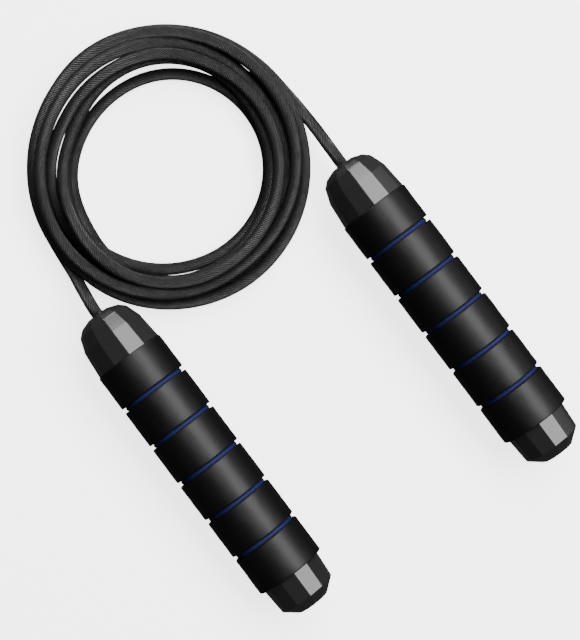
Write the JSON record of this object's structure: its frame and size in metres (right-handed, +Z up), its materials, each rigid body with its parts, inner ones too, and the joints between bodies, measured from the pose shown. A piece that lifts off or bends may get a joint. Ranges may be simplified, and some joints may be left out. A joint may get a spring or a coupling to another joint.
{
  "type": "jump rope",
  "caption": "Speed jump rope: coiled coated steel rope between two foam-gripped handles that spin on ball bearings.",
  "frame": {"origin": "on the surface that the rope lies on, midway between the two handles in both directions", "axes": "+Z up from the surface, +Y along the handles towards the end that the rope leaves, +X across from the left handle to the right one"},
  "size_m": [0.1616, 0.2737, 0.0335],
  "materials": {
    "black_foam": "matte closed-cell foam",
    "blue_foam": "matte closed-cell foam",
    "cap_plastic": "satin moulded, flat facets",
    "tube_plastic": "moulded",
    "bearing_steel": "ground",
    "spring_steel": "blackened",
    "collar_metal": "turned",
    "cage_brass": "pressed",
    "bush_plastic": "moulded acetal",
    "rope_coating": "extruded over twisted wire",
    "wire_steel": "stranded"
  },
  "bodies": {
    "rope": {"rope_coil": "rope_coating", "left_rope_lead": "rope_coating", "right_rope_lead": "rope_coating", "left_rope_tail": "rope_coating", "left_wire_core": "wire_steel", "left_end_ferrule": "cage_brass", "right_rope_tail": "rope_coating", "right_wire_core": "wire_steel", "right_end_ferrule": "cage_brass"},
    "left_swivel": {"left_bearing_inner_race": "bearing_steel", "left_rope_bush": "bush_plastic", "left_thrust_washer": "cage_brass", "left_stop_collar": "collar_metal"},
    "left_screw": {"left_set_screw": "spring_steel"},
    "left_ball_set": {"left_bearing_balls": "bearing_steel", "left_ball_cage": "cage_brass"},
    "left_handle": {"left_front_cap": "cap_plastic", "left_core_tube": "tube_plastic", "left_foam_sleeve": "blue_foam", "left_foam_ring_1": "black_foam", "left_foam_ring_2": "black_foam", "left_foam_ring_3": "black_foam", "left_foam_ring_4": "black_foam", "left_foam_ring_5": "black_foam", "left_foam_ring_6": "black_foam", "left_bearing_outer_race": "bearing_steel", "left_bearing_shields": "bearing_steel", "left_retaining_ring": "spring_steel"},
    "left_butt": {"left_butt_cap": "cap_plastic"},
    "right_swivel": {"right_bearing_inner_race": "bearing_steel", "right_rope_bush": "bush_plastic", "right_thrust_washer": "cage_brass", "right_stop_collar": "collar_metal"},
    "right_screw": {"right_set_screw": "spring_steel"},
    "right_ball_set": {"right_bearing_balls": "bearing_steel", "right_ball_cage": "cage_brass"},
    "right_handle": {"right_front_cap": "cap_plastic", "right_core_tube": "tube_plastic", "right_foam_sleeve": "blue_foam", "right_foam_ring_1": "black_foam", "right_foam_ring_2": "black_foam", "right_foam_ring_3": "black_foam", "right_foam_ring_4": "black_foam", "right_foam_ring_5": "black_foam", "right_foam_ring_6": "black_foam", "right_bearing_outer_race": "bearing_steel", "right_bearing_shields": "bearing_steel", "right_retaining_ring": "spring_steel"},
    "right_butt": {"right_butt_cap": "cap_plastic"}
  },
  "joints": [
    {"name": "left_length_adjust", "type": "slide", "parent": "rope", "child": "left_swivel", "axis": [0, -1, 0], "range_m": [0, 0.06]},
    {"name": "left_handle_spin", "type": "hinge", "parent": "left_swivel", "child": "left_handle", "pos_m": [-0.064, 0.0865, 0.01675], "axis": [0, 1, 0], "continuous": true},
    {"name": "left_ball_orbit", "type": "hinge", "parent": "left_swivel", "child": "left_ball_set", "pos_m": [-0.064, 0.076, 0.01675], "axis": [0, 1, 0], "continuous": true},
    {"name": "left_screw_turn", "type": "hinge", "parent": "left_swivel", "child": "left_screw", "pos_m": [-0.064, 0.067, 0.01675], "axis": [0, 0, 1], "range_deg": [0, 720]},
    {"name": "left_butt_cap_pull", "type": "slide", "parent": "left_handle", "child": "left_butt", "axis": [0, -1, 0], "range_m": [0, 0.03]},
    {"name": "right_length_adjust", "type": "slide", "parent": "rope", "child": "right_swivel", "axis": [0, -1, 0], "range_m": [0, 0.06]},
    {"name": "right_handle_spin", "type": "hinge", "parent": "right_swivel", "child": "right_handle", "pos_m": [0.064, 0.0745, 0.01675], "axis": [0, 1, 0], "continuous": true},
    {"name": "right_ball_orbit", "type": "hinge", "parent": "right_swivel", "child": "right_ball_set", "pos_m": [0.064, 0.064, 0.01675], "axis": [0, 1, 0], "continuous": true},
    {"name": "right_screw_turn", "type": "hinge", "parent": "right_swivel", "child": "right_screw", "pos_m": [0.064, 0.055, 0.01675], "axis": [0, 0, 1], "range_deg": [0, 720]},
    {"name": "right_butt_cap_pull", "type": "slide", "parent": "right_handle", "child": "right_butt", "axis": [0, -1, 0], "range_m": [0, 0.03]}
  ],
  "couplings": [
    {"joint": "left_ball_orbit", "follows": "left_handle_spin", "ratio": 0.58333},
    {"joint": "right_ball_orbit", "follows": "right_handle_spin", "ratio": 0.58333}
  ]
}
